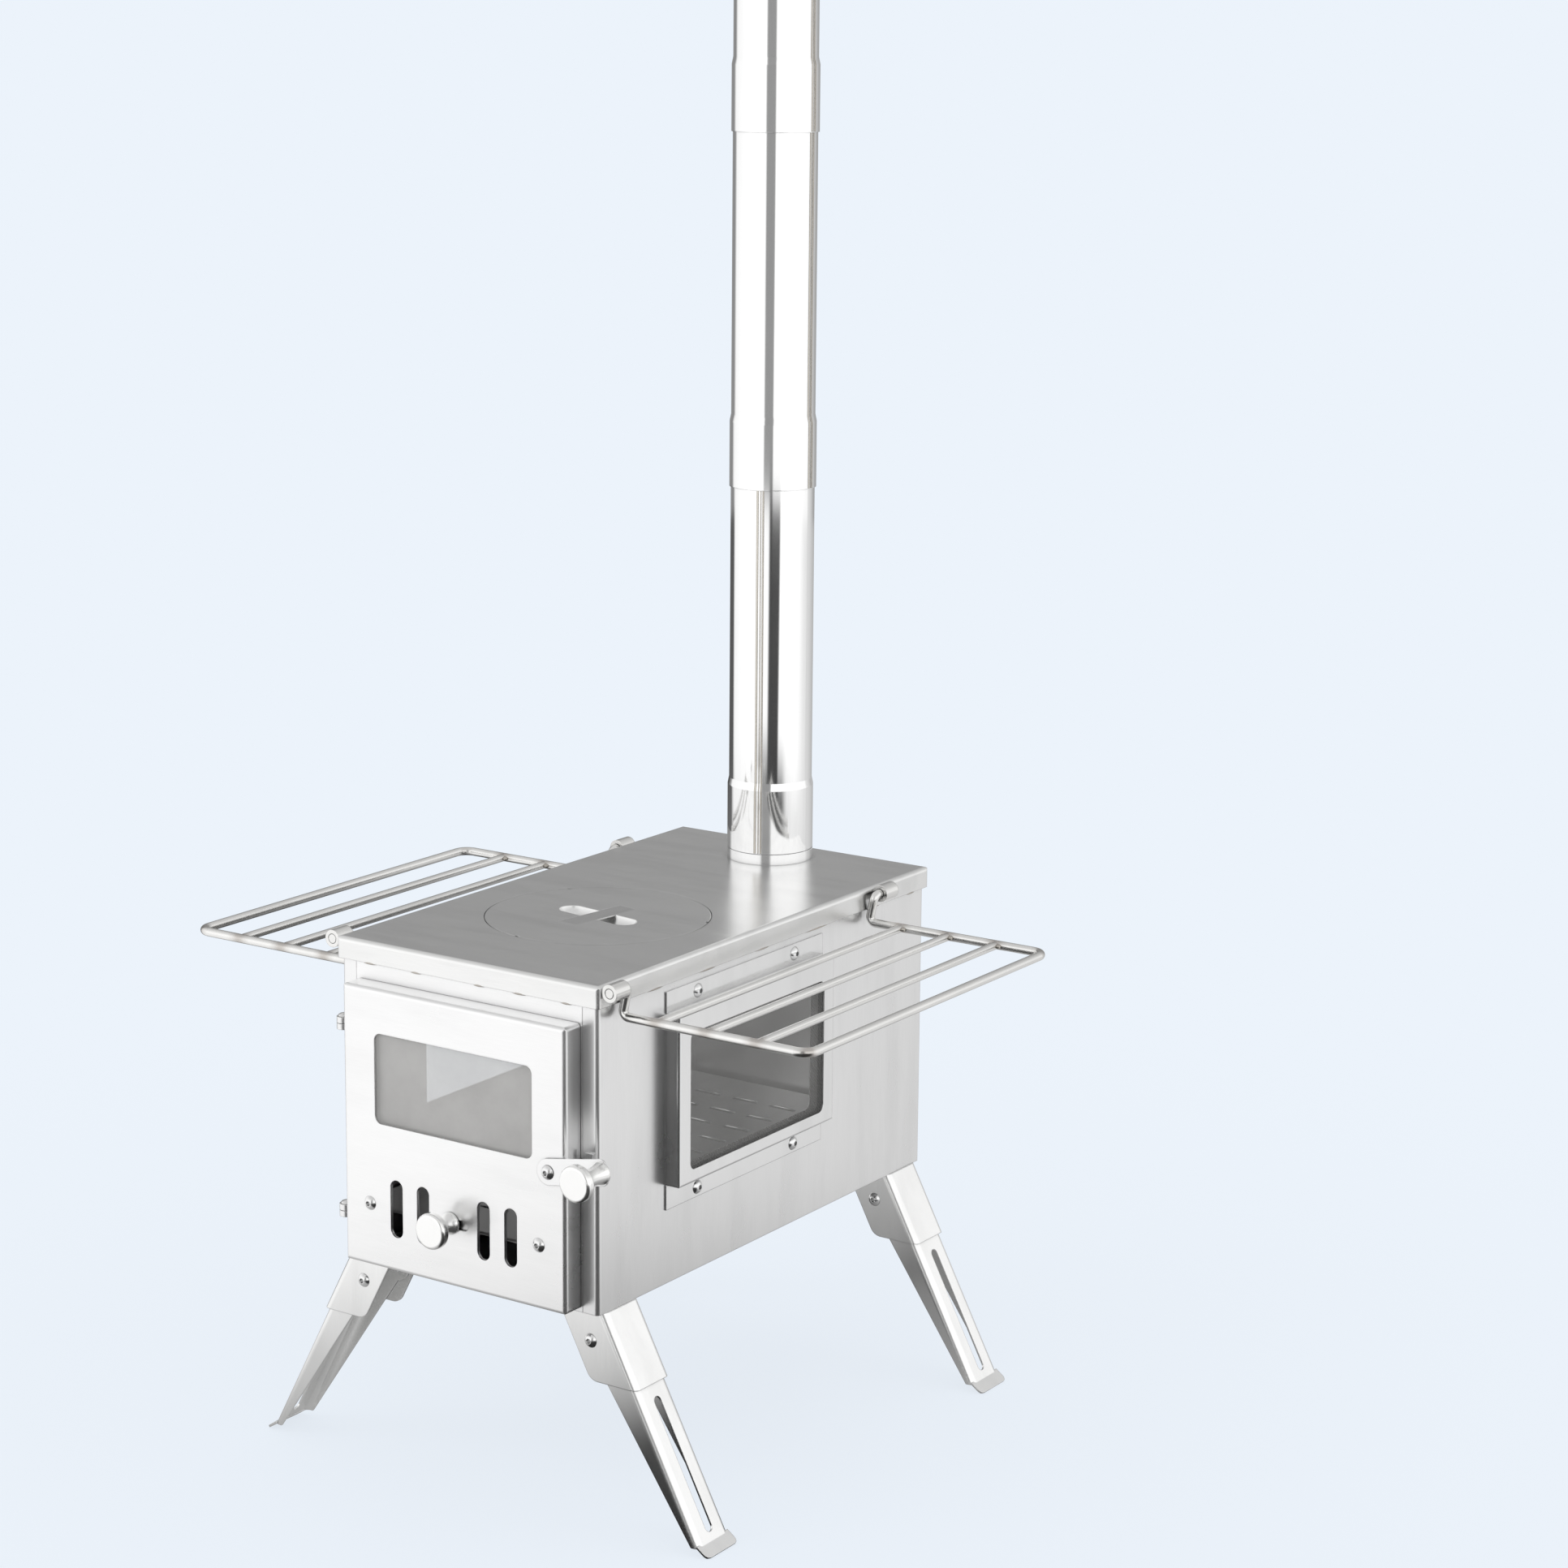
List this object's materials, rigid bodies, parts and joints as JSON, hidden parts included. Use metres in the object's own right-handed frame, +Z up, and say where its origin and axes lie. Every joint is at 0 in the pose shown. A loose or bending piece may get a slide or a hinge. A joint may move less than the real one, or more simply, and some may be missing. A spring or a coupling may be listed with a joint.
{
  "type": "tent wood stove",
  "caption": "Box wood stove of folded sheet steel on splayed folding legs, with a glazed door, side windows, burner lid, fold-out wire shelves and a sectional flue pipe.",
  "frame": {"origin": "middle of the bounding box on the ground, under the stove", "axes": "+X to the right seen from the door, +Y to the back, +Z up along the flue"},
  "size_m": [0.497, 0.4256, 1.1623],
  "materials": {
    "body_steel": "satin stainless sheet with a faint mill grain",
    "plate_steel": "dull satin stainless plate",
    "pipe_steel": "bright rolled stainless sheet",
    "rod_steel": "drawn stainless rod, slightly bright",
    "screw_steel": "bright stainless screws",
    "knob_steel": "satin turned stainless",
    "grate_steel": "dull stainless plate",
    "heat_glass": "clear heat-proof glass",
    "gasket_rope": "black woven heat-proof rope"
  },
  "bodies": {
    "body": {"top_plate": "plate_steel", "burner_seat": "plate_steel", "flue_collar": "pipe_steel", "left_wall": "body_steel", "right_wall": "body_steel", "front_panel": "body_steel", "rear_panel": "body_steel", "floor_plate": "body_steel", "fire_grate": "grate_steel", "left_bezel": "body_steel", "right_bezel": "body_steel", "left_glass": "heat_glass", "right_glass": "heat_glass", "left_gasket": "gasket_rope", "right_gasket": "gasket_rope", "window_screws": "screw_steel", "shelf_eyes": "rod_steel", "hinge_lugs": "body_steel", "latch_catch": "body_steel", "front_left_bracket": "body_steel", "front_right_bracket": "body_steel", "rear_left_bracket": "body_steel", "rear_right_bracket": "body_steel", "leg_screws": "screw_steel"},
    "door": {"door_shell": "body_steel", "door_glass": "heat_glass", "door_gasket": "gasket_rope", "glass_clamp": "body_steel", "door_knuckles": "body_steel", "guide_screws": "screw_steel", "latch_screw": "screw_steel"},
    "air_slide": {"slide_plate": "body_steel", "slide_knob": "knob_steel"},
    "latch": {"latch_lever": "body_steel", "latch_knob": "knob_steel"},
    "lid": {"burner_lid": "plate_steel", "lid_strap": "plate_steel"},
    "front_left_leg_body": {"front_left_leg": "body_steel"},
    "front_right_leg_body": {"front_right_leg": "body_steel"},
    "rear_left_leg_body": {"rear_left_leg": "body_steel"},
    "rear_right_leg_body": {"rear_right_leg": "body_steel"},
    "left_shelf_body": {"left_shelf": "rod_steel"},
    "right_shelf_body": {"right_shelf": "rod_steel"},
    "flue_lower_body": {"flue_lower": "pipe_steel"},
    "flue_middle_body": {"flue_middle": "pipe_steel"},
    "flue_upper_body": {"flue_upper": "pipe_steel"}
  },
  "joints": [
    {"name": "door_hinge", "type": "hinge", "parent": "body", "child": "door", "pos_m": [-0.095, -0.17535, 0.23895], "axis": [0, 0, -1], "range_deg": [0, 165]},
    {"name": "latch_pivot", "type": "hinge", "parent": "door", "child": "latch", "pos_m": [0.0773, -0.18475, 0.238], "axis": [0, -1, 0], "range_deg": [0, 70]},
    {"name": "air_slide_run", "type": "slide", "parent": "door", "child": "air_slide", "axis": [1, 0, 0], "range_m": [0, 0.0108]},
    {"name": "lid_lift", "type": "slide", "parent": "body", "child": "lid", "axis": [0, 0, 1], "range_m": [0, 0.03]},
    {"name": "front_left_leg_fold", "type": "hinge", "parent": "body", "child": "front_left_leg_body", "pos_m": [-0.093, -0.14335, 0.1245], "axis": [0, -1, 0], "range_deg": [0, 130]},
    {"name": "front_right_leg_fold", "type": "hinge", "parent": "body", "child": "front_right_leg_body", "pos_m": [0.093, -0.14335, 0.1245], "axis": [0, 1, 0], "range_deg": [0, 112]},
    {"name": "rear_left_leg_fold", "type": "hinge", "parent": "body", "child": "rear_left_leg_body", "pos_m": [-0.093, 0.18615, 0.1245], "axis": [0, -1, 0], "range_deg": [0, 130]},
    {"name": "rear_right_leg_fold", "type": "hinge", "parent": "body", "child": "rear_right_leg_body", "pos_m": [0.093, 0.18615, 0.1245], "axis": [0, 1, 0], "range_deg": [0, 112]},
    {"name": "left_shelf_swing", "type": "hinge", "parent": "body", "child": "left_shelf_body", "pos_m": [-0.1114, -0.00585, 0.3537], "axis": [0, 1, 0], "range_deg": [0, 115]},
    {"name": "right_shelf_swing", "type": "hinge", "parent": "body", "child": "right_shelf_body", "pos_m": [0.1114, -0.00585, 0.3537], "axis": [0, -1, 0], "range_deg": [0, 115]},
    {"name": "flue_lower_pull", "type": "slide", "parent": "body", "child": "flue_lower_body", "axis": [0, 0, 1], "range_m": [0, 0.06]},
    {"name": "flue_middle_pull", "type": "slide", "parent": "flue_lower_body", "child": "flue_middle_body", "axis": [0, 0, 1], "range_m": [0, 0.06]},
    {"name": "flue_upper_pull", "type": "slide", "parent": "flue_middle_body", "child": "flue_upper_body", "axis": [0, 0, 1], "range_m": [0, 0.06]}
  ]
}
